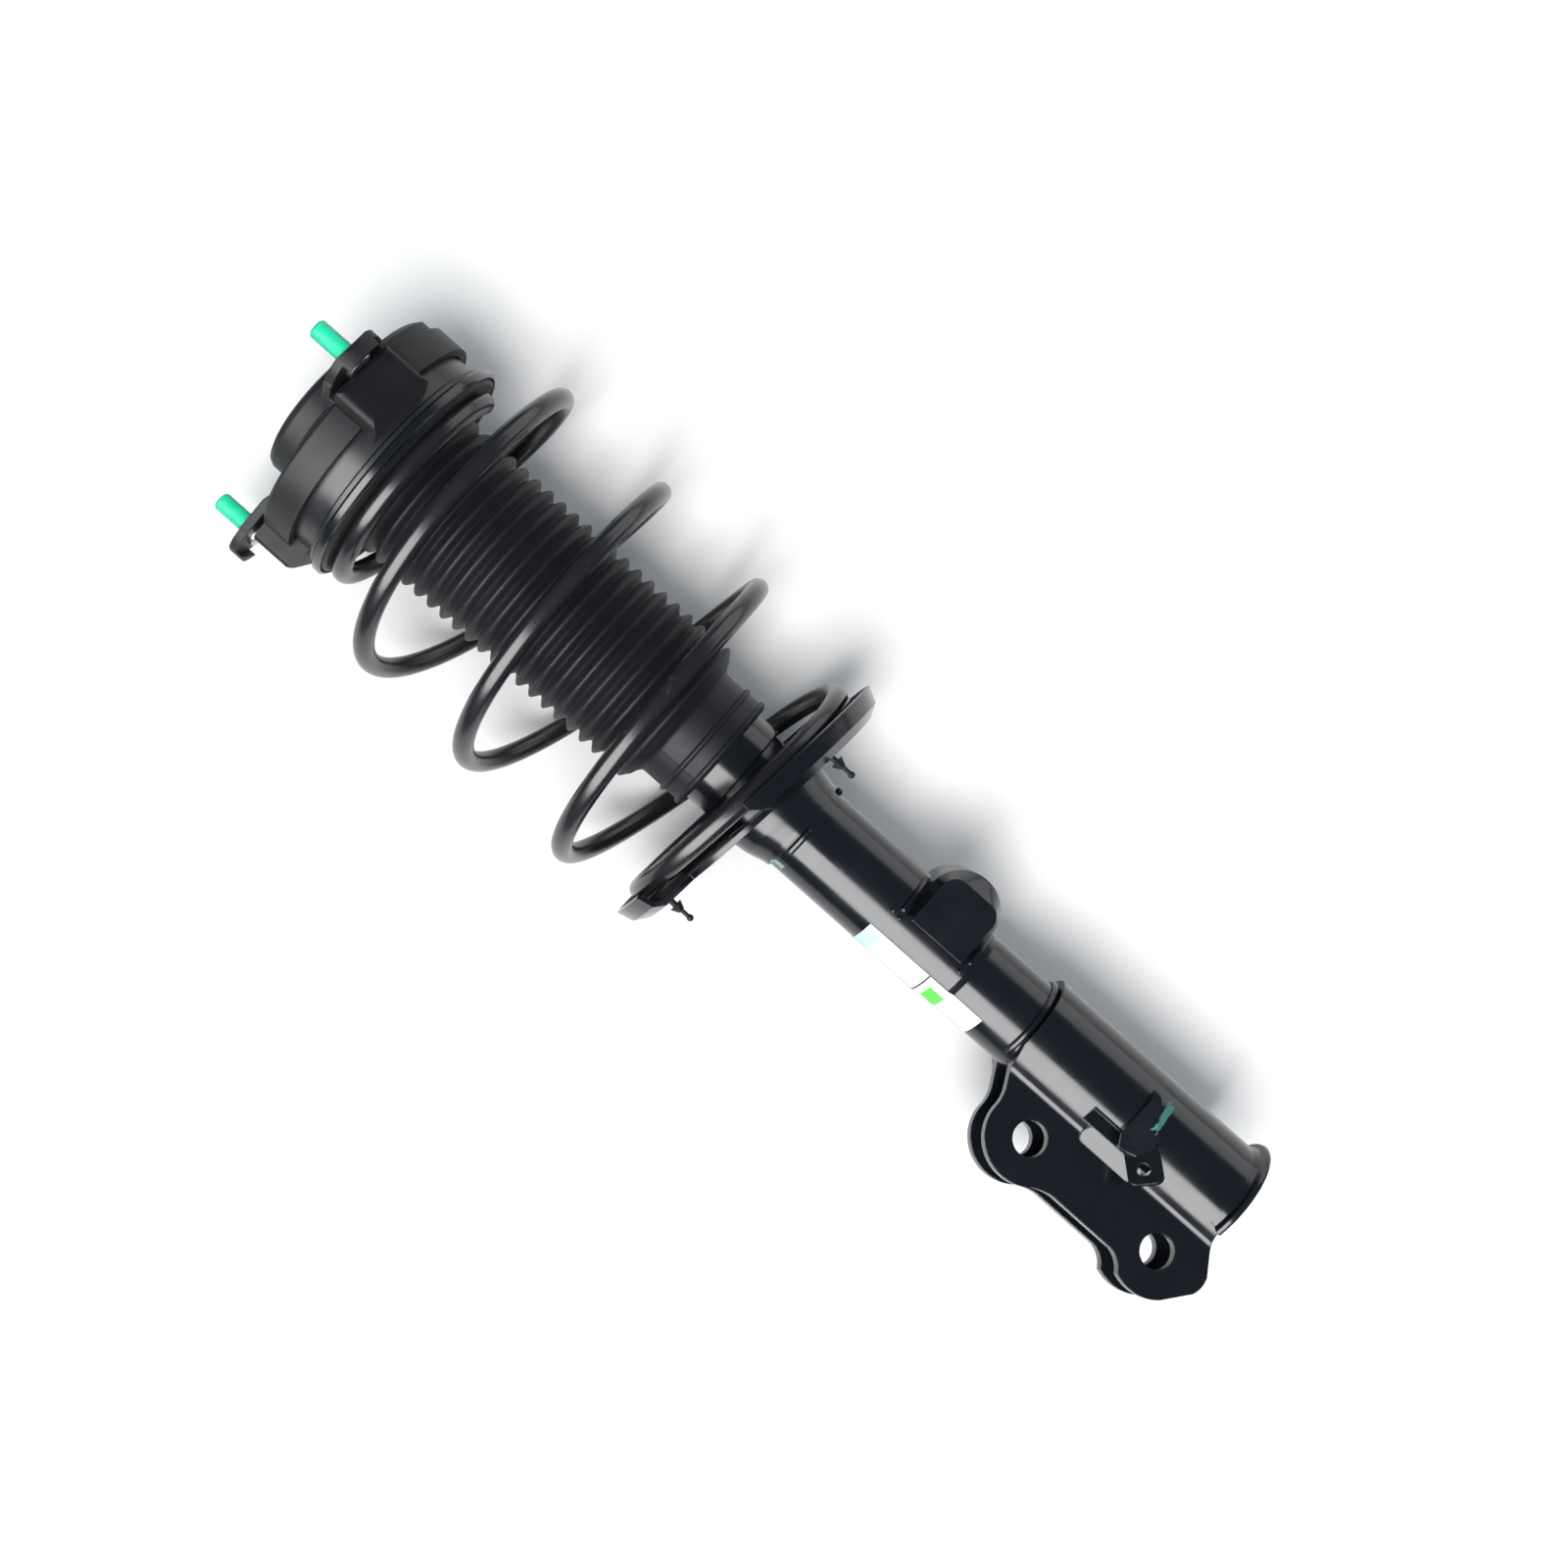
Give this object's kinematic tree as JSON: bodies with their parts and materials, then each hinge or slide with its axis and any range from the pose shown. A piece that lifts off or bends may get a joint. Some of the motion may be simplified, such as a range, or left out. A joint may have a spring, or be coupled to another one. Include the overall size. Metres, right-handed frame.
{
  "type": "suspension strut assembly",
  "caption": "MacPherson strut with coil spring, rubber dust boot, studded top mount, swivel bearing, welded lower seat and a two-plate knuckle bracket.",
  "frame": {"origin": "centre of the circle of the three top mount studs, on the face that meets the strut tower", "axes": "+Z along the strut's axis towards the studs, -X towards the knuckle plates"},
  "size_m": [0.1744, 0.1711, 0.6092],
  "materials": {
    "mount_casting": "satin",
    "green_coated_steel": "satin",
    "rubber": "matte",
    "machined_steel": "brushed",
    "bearing_plastic": "satin",
    "black_paint": "gloss",
    "spring_coating": "gloss",
    "bump_foam": "matte",
    "chromed_rod": "polished",
    "guide_bronze": "satin",
    "label_film": "satin"
  },
  "bodies": {
    "top_mount": {"mount_housing": "mount_casting", "mount_studs": "green_coated_steel", "mount_pads": "rubber", "mount_rubber": "rubber", "mount_sleeve": "machined_steel", "rod_washer": "machined_steel", "rod_nut": "machined_steel", "mount_cap": "mount_casting", "upper_bearing_race": "bearing_plastic", "bump_stop": "bump_foam", "bump_stop_cup": "machined_steel", "piston_rod": "chromed_rod", "piston": "machined_steel", "piston_band": "bearing_plastic", "piston_nut": "machined_steel", "rebound_stop": "bump_foam", "rebound_ring": "machined_steel"},
    "ball_ring": {"bearing_balls": "machined_steel", "ball_cage": "bearing_plastic"},
    "upper_seat": {"lower_bearing_race": "bearing_plastic", "upper_spring_seat": "black_paint", "upper_isolator": "rubber", "coil_spring": "spring_coating", "dust_boot": "rubber"},
    "strut_tube": {"outer_tube": "black_paint", "tube_cap": "black_paint", "tube_foot_cap": "black_paint", "inner_cylinder": "machined_steel", "foot_valve": "machined_steel", "rod_seal": "rubber", "rod_guide": "machined_steel", "guide_bush": "guide_bronze", "lower_spring_seat": "black_paint", "lower_pad": "rubber", "knuckle_bracket": "black_paint", "link_bracket": "black_paint", "hose_bracket": "black_paint", "weld_beads": "black_paint", "labels": "label_film"}
  },
  "joints": [
    {"name": "steer_swivel", "type": "hinge", "parent": "top_mount", "child": "upper_seat", "pos_m": [0, 0, -0.033], "axis": [0, 0, 1], "range_deg": [-40, 40]},
    {"name": "ball_ring_turn", "type": "hinge", "parent": "top_mount", "child": "ball_ring", "pos_m": [0, 0, -0.033], "axis": [0, 0, 1], "range_deg": [-20, 20]},
    {"name": "strut_travel", "type": "slide", "parent": "upper_seat", "child": "strut_tube", "axis": [0, 0, 1], "range_m": [0, 0.13], "stiffness_N_per_m": 22000, "springref_m": -0.02, "deforming": ["coil_spring", "dust_boot"]}
  ],
  "couplings": [
    {"joint": "ball_ring_turn", "follows": "steer_swivel", "ratio": 0.5}
  ]
}
